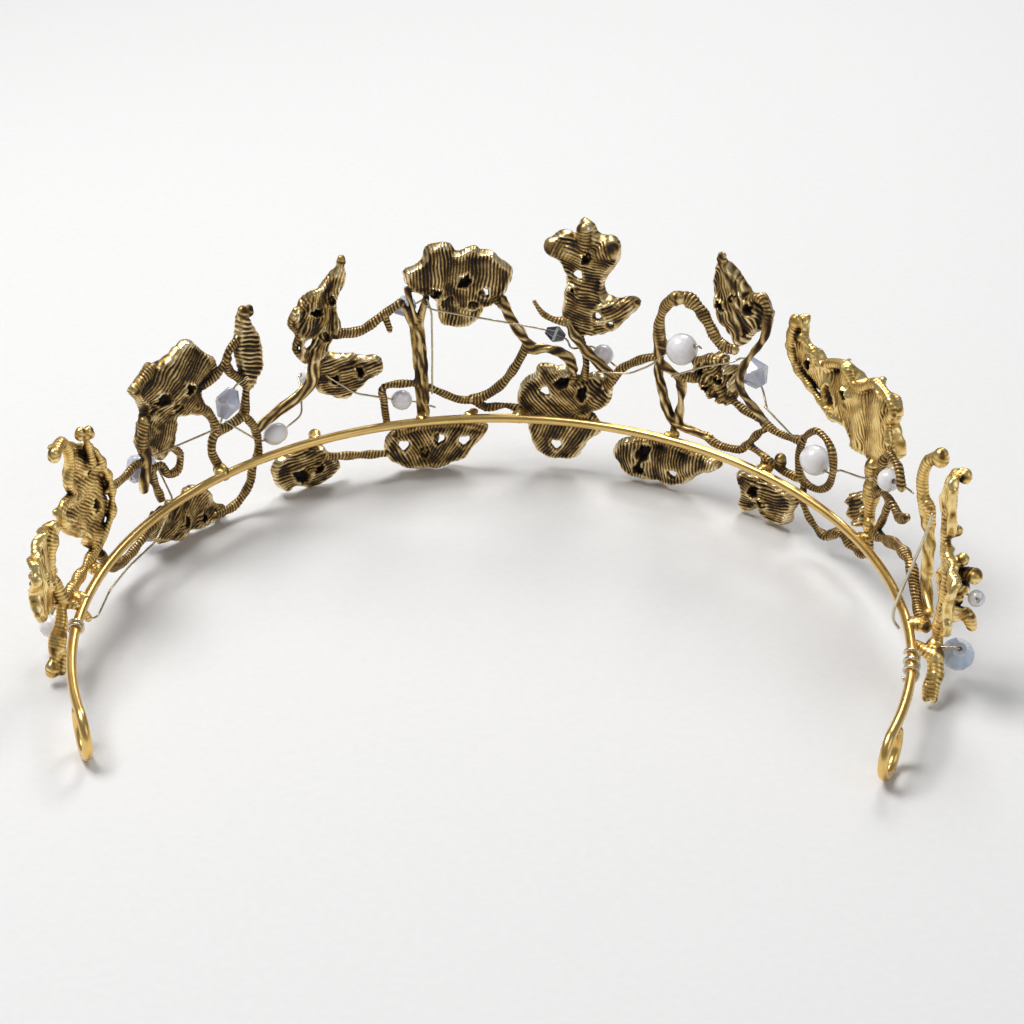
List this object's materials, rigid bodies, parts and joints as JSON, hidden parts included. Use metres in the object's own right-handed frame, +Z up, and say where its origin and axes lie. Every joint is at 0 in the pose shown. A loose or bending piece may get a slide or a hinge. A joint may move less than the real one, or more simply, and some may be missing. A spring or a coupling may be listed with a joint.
{
  "type": "bridal tiara",
  "caption": "Leafy bridal tiara: a sprung brass band with looped ends, cast antique-gold leaf and blossom sprays, and beads threaded on fine wire.",
  "frame": {"origin": "centre of the tiara's footprint, on the surface that it stands on", "axes": "+X towards the wearer's right along the widest extent, +Y forwards out of the forehead, +Z up"},
  "size_m": [0.1661, 0.111, 0.0562],
  "materials": {
    "band_gold": "satin",
    "antique_gold": "satin",
    "bright_gold": "gloss",
    "pearl": "gloss",
    "opal_crystal": "gloss",
    "lavender_crystal": "gloss",
    "blue_opal": "gloss",
    "smoke_crystal": "gloss",
    "clear_crystal": "gloss",
    "thread_wire": "polished",
    "lashing_wire": "polished"
  },
  "bodies": {
    "tiara": {"band_wire": "band_gold", "left_end_loop": "band_gold", "right_end_loop": "band_gold", "left_end_leaf": "bright_gold", "left_end_flower": "bright_gold", "left_side_stem": "antique_gold", "left_side_flower": "antique_gold", "left_spike_leaf": "antique_gold", "left_low_leaf": "antique_gold", "left_centre_leaf": "antique_gold", "left_low_flower": "antique_gold", "arch_flower": "antique_gold", "centre_low_leaf": "antique_gold", "centre_arch": "antique_gold", "crown_flower": "antique_gold", "centre_low_flower": "antique_gold", "right_ring": "antique_gold", "right_tall_leaf": "antique_gold", "right_inner_leaf": "antique_gold", "right_low_leaf": "antique_gold", "right_low_stem": "antique_gold", "right_low_flower": "antique_gold", "right_side_flower": "bright_gold", "right_pearl_ring": "antique_gold", "right_side_twigs": "antique_gold", "right_end_spike": "bright_gold", "right_end_flower": "bright_gold", "thread_left": "thread_wire", "thread_left_centre": "thread_wire", "thread_arch": "thread_wire", "thread_centre": "thread_wire", "thread_right": "thread_wire", "thread_right_end": "lashing_wire", "bead_pins": "thread_wire", "lashing_left": "lashing_wire", "lashing_right": "lashing_wire", "solder_joints": "antique_gold"},
    "pearl_left_end": {"pearl_left_end": "pearl"},
    "crystal_left_side": {"crystal_left_side": "opal_crystal"},
    "crystal_left_low": {"crystal_left_low": "lavender_crystal"},
    "crystal_left_stem": {"crystal_left_stem": "opal_crystal"},
    "pearl_left_oval": {"pearl_left_oval": "pearl"},
    "pearl_left_centre": {"pearl_left_centre": "pearl"},
    "crystal_arch": {"crystal_arch": "opal_crystal"},
    "pearl_post": {"pearl_post": "pearl"},
    "crystal_dark": {"crystal_dark": "smoke_crystal"},
    "pearl_crown": {"pearl_crown": "pearl"},
    "pearl_ring": {"pearl_ring": "pearl"},
    "crystal_right_leaf": {"crystal_right_leaf": "opal_crystal"},
    "pearl_right_ring": {"pearl_right_ring": "pearl"},
    "pearl_right_side": {"pearl_right_side": "pearl"},
    "stone_right_end": {"stone_right_end": "clear_crystal"},
    "crystal_right_end": {"crystal_right_end": "blue_opal"}
  },
  "joints": [
    {"name": "pearl_left_end_spin", "type": "hinge", "parent": "tiara", "child": "pearl_left_end", "pos_m": [-0.08086, -0.01943, 0.0056], "axis": [0.0238, 0.4994, 0.866], "continuous": true},
    {"name": "crystal_left_side_spin", "type": "hinge", "parent": "tiara", "child": "crystal_left_side", "pos_m": [-0.07045, 0.01782, 0.0176], "axis": [0.4813, 0.8071, 0.342], "continuous": true},
    {"name": "crystal_left_low_spin", "type": "hinge", "parent": "tiara", "child": "crystal_left_low", "pos_m": [-0.06982, 0.0177, 0.0034], "axis": [0.5066, 0.8445, 0.1736], "continuous": true},
    {"name": "crystal_left_stem_spin", "type": "hinge", "parent": "tiara", "child": "crystal_left_stem", "pos_m": [-0.05511, 0.03011, 0.0254], "axis": [0.3531, 0.354, 0.866], "continuous": true},
    {"name": "pearl_left_oval_spin", "type": "hinge", "parent": "tiara", "child": "pearl_left_oval", "pos_m": [-0.04728, 0.03695, 0.0153], "axis": [0.7695, 0.5838, 0.2588], "continuous": true},
    {"name": "pearl_left_centre_spin", "type": "hinge", "parent": "tiara", "child": "pearl_left_centre", "pos_m": [-0.04117, 0.04532, 0.0236], "axis": [0.7851, 0.4528, -0.4226], "continuous": true},
    {"name": "crystal_arch_spin", "type": "hinge", "parent": "tiara", "child": "crystal_arch", "pos_m": [-0.02272, 0.05325, 0.0357], "axis": [0.9494, 0.2616, 0.1736], "continuous": true},
    {"name": "pearl_post_spin", "type": "hinge", "parent": "tiara", "child": "pearl_post", "pos_m": [-0.02334, 0.04912, 0.017], "axis": [0.9294, 0.2788, -0.2419], "continuous": true},
    {"name": "crystal_dark_spin", "type": "hinge", "parent": "tiara", "child": "crystal_dark", "pos_m": [0.00723, 0.05178, 0.031], "axis": [0.9332, -0.1105, -0.342], "continuous": true},
    {"name": "pearl_crown_spin", "type": "hinge", "parent": "tiara", "child": "pearl_crown", "pos_m": [0.01675, 0.0525, 0.0262], "axis": [0.7444, -0.1809, -0.6428], "continuous": true},
    {"name": "pearl_ring_spin", "type": "hinge", "parent": "tiara", "child": "pearl_ring", "pos_m": [0.03211, 0.04433, 0.0318], "axis": [0.8107, -0.4053, 0.4226], "continuous": true},
    {"name": "crystal_right_leaf_spin", "type": "hinge", "parent": "tiara", "child": "crystal_right_leaf", "pos_m": [0.04579, 0.03682, 0.0308], "axis": [0.5043, -0.3986, -0.766], "continuous": true},
    {"name": "pearl_right_ring_spin", "type": "hinge", "parent": "tiara", "child": "pearl_right_ring", "pos_m": [0.0574, 0.02385, 0.019], "axis": [0.5856, -0.7349, -0.342], "continuous": true},
    {"name": "pearl_right_side_spin", "type": "hinge", "parent": "tiara", "child": "pearl_right_side", "pos_m": [0.06893, 0.0036, 0.0263], "axis": [0.3335, -0.8785, 0.342], "continuous": true},
    {"name": "stone_right_end_spin", "type": "hinge", "parent": "tiara", "child": "stone_right_end", "pos_m": [0.08146, -0.02695, 0.0205], "axis": [0.0424, 0.9387, -0.342], "continuous": true},
    {"name": "crystal_right_end_spin", "type": "hinge", "parent": "tiara", "child": "crystal_right_end", "pos_m": [0.08005, -0.02256, 0.0062], "axis": [0.0051, -0.6428, 0.766], "continuous": true}
  ]
}
